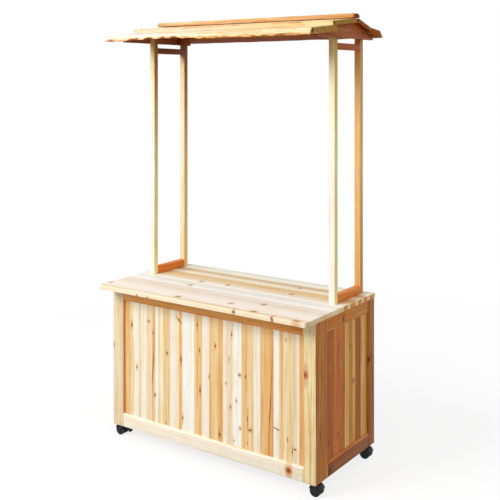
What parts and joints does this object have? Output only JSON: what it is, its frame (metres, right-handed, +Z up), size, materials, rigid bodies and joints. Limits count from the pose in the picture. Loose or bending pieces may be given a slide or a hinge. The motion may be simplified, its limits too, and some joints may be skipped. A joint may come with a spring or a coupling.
{
  "type": "potting bench",
  "caption": "Rolling timber potting bench: panelled open-backed cabinet with shelf, deep worktop, slender post frames carrying a lapped gable roof, and braked casters.",
  "frame": {"origin": "centre of the overall footprint, on the floor, under the middle of the cabinet", "axes": "+Z up; +X along the bench to the user's right when facing the front panel; -Y is the front"},
  "size_m": [1.206, 0.74, 2.1117],
  "materials": {
    "fir_frame": "planed knotty fir, clear satin varnish",
    "fir_inside": "planed knotty fir, unfinished",
    "fir_panel": "edge-glued fir strips, clear satin varnish",
    "fir_worktop": "edge-glued knotty fir, clear satin varnish",
    "fir_posts": "planed fir, clear satin varnish",
    "fir_gable": "sawn fir, oiled",
    "fir_roof": "waney-edged fir, clear satin varnish",
    "caster_nylon": "moulded black nylon",
    "caster_plate": "zinc-plated steel"
  },
  "bodies": {
    "bench": {"front_left_stile": "fir_frame", "front_right_stile": "fir_frame", "front_top_rail": "fir_frame", "front_bottom_rail": "fir_frame", "left_end_front_stile": "fir_frame", "left_end_rear_stile": "fir_frame", "left_end_top_rail": "fir_frame", "left_end_bottom_rail": "fir_frame", "right_end_front_stile": "fir_frame", "right_end_rear_stile": "fir_frame", "right_end_top_rail": "fir_frame", "right_end_bottom_rail": "fir_frame", "back_top_rail": "fir_frame", "back_bottom_rail": "fir_frame", "floor_board": "fir_inside", "shelf": "fir_inside", "left_shelf_cleat": "fir_inside", "right_shelf_cleat": "fir_inside", "front_panel": "fir_panel", "left_end_panel": "fir_panel", "right_end_panel": "fir_panel", "worktop_front_board": "fir_worktop", "worktop_inner_board": "fir_worktop", "worktop_middle_board": "fir_worktop", "worktop_rear_board": "fir_worktop", "left_front_post": "fir_posts", "left_rear_post": "fir_posts", "left_foot_rail": "fir_posts", "left_head_rail": "fir_posts", "right_front_post": "fir_posts", "right_rear_post": "fir_posts", "right_foot_rail": "fir_posts", "right_head_rail": "fir_posts", "left_gable_board": "fir_gable", "right_gable_board": "fir_gable", "roof_front_eave_slab": "fir_roof", "roof_front_board": "fir_roof", "roof_ridge_cap": "fir_roof", "roof_rear_board": "fir_roof", "roof_rear_eave_slab": "fir_roof", "front_left_caster_plate": "caster_plate", "front_right_caster_plate": "caster_plate", "rear_left_caster_plate": "caster_plate", "rear_right_caster_plate": "caster_plate"},
    "front_left_swivel": {"front_left_caster_hood": "caster_nylon"},
    "front_left_wheel_a": {"front_left_caster_wheel_a": "caster_nylon"},
    "front_left_wheel_b": {"front_left_caster_wheel_b": "caster_nylon"},
    "front_left_pedal": {"front_left_brake_pedal": "caster_nylon"},
    "front_right_swivel": {"front_right_caster_hood": "caster_nylon"},
    "front_right_wheel_a": {"front_right_caster_wheel_a": "caster_nylon"},
    "front_right_wheel_b": {"front_right_caster_wheel_b": "caster_nylon"},
    "rear_left_swivel": {"rear_left_caster_hood": "caster_nylon"},
    "rear_left_wheel_a": {"rear_left_caster_wheel_a": "caster_nylon"},
    "rear_left_wheel_b": {"rear_left_caster_wheel_b": "caster_nylon"},
    "rear_left_pedal": {"rear_left_brake_pedal": "caster_nylon"},
    "rear_right_swivel": {"rear_right_caster_hood": "caster_nylon"},
    "rear_right_wheel_a": {"rear_right_caster_wheel_a": "caster_nylon"},
    "rear_right_wheel_b": {"rear_right_caster_wheel_b": "caster_nylon"}
  },
  "joints": [
    {"name": "front_left_swivel_turn", "type": "hinge", "parent": "bench", "child": "front_left_swivel", "pos_m": [-0.55, -0.23, 0.0569], "axis": [0, 0, 1], "continuous": true},
    {"name": "front_left_wheel_a_roll", "type": "hinge", "parent": "front_left_swivel", "child": "front_left_wheel_a", "pos_m": [-0.574, -0.2351, 0.02495], "axis": [0, 1, 0], "continuous": true},
    {"name": "front_left_wheel_b_roll", "type": "hinge", "parent": "front_left_swivel", "child": "front_left_wheel_b", "pos_m": [-0.574, -0.2249, 0.02495], "axis": [0, 1, 0], "continuous": true},
    {"name": "front_left_brake_press", "type": "hinge", "parent": "front_left_swivel", "child": "front_left_pedal", "pos_m": [-0.533, -0.23, 0.043], "axis": [0, 1, 0], "range_deg": [0, 14]},
    {"name": "front_right_swivel_turn", "type": "hinge", "parent": "bench", "child": "front_right_swivel", "pos_m": [0.55, -0.23, 0.0569], "axis": [0, 0, 1], "continuous": true},
    {"name": "front_right_wheel_a_roll", "type": "hinge", "parent": "front_right_swivel", "child": "front_right_wheel_a", "pos_m": [0.574, -0.2249, 0.02495], "axis": [0, 1, 0], "continuous": true},
    {"name": "front_right_wheel_b_roll", "type": "hinge", "parent": "front_right_swivel", "child": "front_right_wheel_b", "pos_m": [0.574, -0.2351, 0.02495], "axis": [0, 1, 0], "continuous": true},
    {"name": "rear_left_swivel_turn", "type": "hinge", "parent": "bench", "child": "rear_left_swivel", "pos_m": [-0.55, 0.23, 0.0569], "axis": [0, 0, 1], "continuous": true},
    {"name": "rear_left_wheel_a_roll", "type": "hinge", "parent": "rear_left_swivel", "child": "rear_left_wheel_a", "pos_m": [-0.574, 0.2249, 0.02495], "axis": [0, 1, 0], "continuous": true},
    {"name": "rear_left_wheel_b_roll", "type": "hinge", "parent": "rear_left_swivel", "child": "rear_left_wheel_b", "pos_m": [-0.574, 0.2351, 0.02495], "axis": [0, 1, 0], "continuous": true},
    {"name": "rear_left_brake_press", "type": "hinge", "parent": "rear_left_swivel", "child": "rear_left_pedal", "pos_m": [-0.533, 0.23, 0.043], "axis": [0, 1, 0], "range_deg": [0, 14]},
    {"name": "rear_right_swivel_turn", "type": "hinge", "parent": "bench", "child": "rear_right_swivel", "pos_m": [0.55, 0.23, 0.0569], "axis": [0, 0, 1], "continuous": true},
    {"name": "rear_right_wheel_a_roll", "type": "hinge", "parent": "rear_right_swivel", "child": "rear_right_wheel_a", "pos_m": [0.574, 0.2351, 0.02495], "axis": [0, 1, 0], "continuous": true},
    {"name": "rear_right_wheel_b_roll", "type": "hinge", "parent": "rear_right_swivel", "child": "rear_right_wheel_b", "pos_m": [0.574, 0.2249, 0.02495], "axis": [0, 1, 0], "continuous": true}
  ]
}
